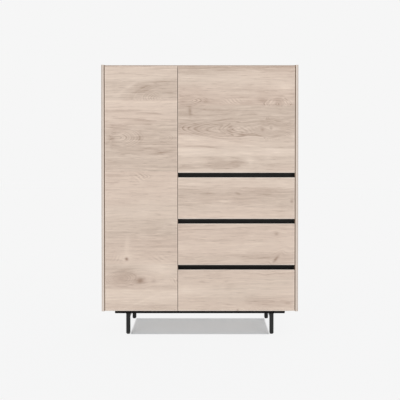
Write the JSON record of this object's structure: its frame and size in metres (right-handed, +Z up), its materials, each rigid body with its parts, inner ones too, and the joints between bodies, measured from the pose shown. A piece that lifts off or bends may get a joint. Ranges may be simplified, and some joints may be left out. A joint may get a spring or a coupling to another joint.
{
  "type": "highboard",
  "caption": "Tall oak-veneered highboard with a full-height door, an upper door over drawers with black finger grooves, and a low black steel base.",
  "frame": {"origin": "on the floor under the middle of the cabinet's outer box", "axes": "+Z up, +X to the right seen from the front, +Y to the back, so that the fronts face -Y"},
  "size_m": [1.1, 0.45, 1.52],
  "materials": {
    "oak": "pale oak veneer, horizontal grain, matt lacquer",
    "board": "pale faced board",
    "grip_black": "matt black",
    "base_black": "fine matt black powder coat",
    "fitting": "nickel plated",
    "runner": "zinc plated",
    "glide": "matt black"
  },
  "bodies": {
    "carcass": {"left_side": "oak", "right_side": "oak", "top_panel": "oak", "bottom_panel": "oak", "partition": "oak", "upper_compartment_floor": "oak", "back_panel": "board", "tall_shelf_1": "oak", "tall_shelf_2": "oak", "upper_shelf_1": "oak", "top_drawer_grip_rail": "grip_black", "middle_drawer_grip_rail": "grip_black", "bottom_drawer_grip_rail": "grip_black", "front_rail": "base_black", "rear_rail": "base_black", "left_leg_frame": "base_black", "right_leg_frame": "base_black", "front_left_glide": "glide", "front_right_glide": "glide", "rear_left_glide": "glide", "rear_right_glide": "glide", "tall_door_hinge_1_arm": "fitting", "tall_door_hinge_2_arm": "fitting", "tall_door_hinge_3_arm": "fitting", "upper_door_hinge_1_arm": "fitting", "upper_door_hinge_2_arm": "fitting", "top_drawer_left_cabinet_runner": "runner", "top_drawer_right_cabinet_runner": "runner", "middle_drawer_left_cabinet_runner": "runner", "middle_drawer_right_cabinet_runner": "runner", "bottom_drawer_left_cabinet_runner": "runner", "bottom_drawer_right_cabinet_runner": "runner"},
    "tall_door": {"tall_door": "oak", "tall_door_hinge_1_cup": "fitting", "tall_door_hinge_2_cup": "fitting", "tall_door_hinge_3_cup": "fitting"},
    "upper_door": {"upper_door": "oak", "upper_door_hinge_1_cup": "fitting", "upper_door_hinge_2_cup": "fitting"},
    "top_drawer": {"top_drawer_front": "oak", "top_drawer_left_side": "board", "top_drawer_right_side": "board", "top_drawer_back": "board", "top_drawer_bottom": "board", "top_drawer_left_drawer_runner": "runner", "top_drawer_right_drawer_runner": "runner"},
    "middle_drawer": {"middle_drawer_front": "oak", "middle_drawer_left_side": "board", "middle_drawer_right_side": "board", "middle_drawer_back": "board", "middle_drawer_bottom": "board", "middle_drawer_left_drawer_runner": "runner", "middle_drawer_right_drawer_runner": "runner"},
    "bottom_drawer": {"bottom_drawer_front": "oak", "bottom_drawer_left_side": "board", "bottom_drawer_right_side": "board", "bottom_drawer_back": "board", "bottom_drawer_bottom": "board", "bottom_drawer_left_drawer_runner": "runner", "bottom_drawer_right_drawer_runner": "runner"}
  },
  "joints": [
    {"name": "tall_door_hinge", "type": "hinge", "parent": "carcass", "child": "tall_door", "pos_m": [-0.526, -0.221, 0.82775], "axis": [0, 0, -1], "range_deg": [0, 110]},
    {"name": "upper_door_hinge", "type": "hinge", "parent": "carcass", "child": "upper_door", "pos_m": [0.526, -0.221, 1.2152], "axis": [0, 0, 1], "range_deg": [0, 110]},
    {"name": "top_drawer_slide", "type": "slide", "parent": "carcass", "child": "top_drawer", "axis": [0, -1, 0], "range_m": [0, 0.28]},
    {"name": "middle_drawer_slide", "type": "slide", "parent": "carcass", "child": "middle_drawer", "axis": [0, -1, 0], "range_m": [0, 0.28]},
    {"name": "bottom_drawer_slide", "type": "slide", "parent": "carcass", "child": "bottom_drawer", "axis": [0, -1, 0], "range_m": [0, 0.28]}
  ]
}
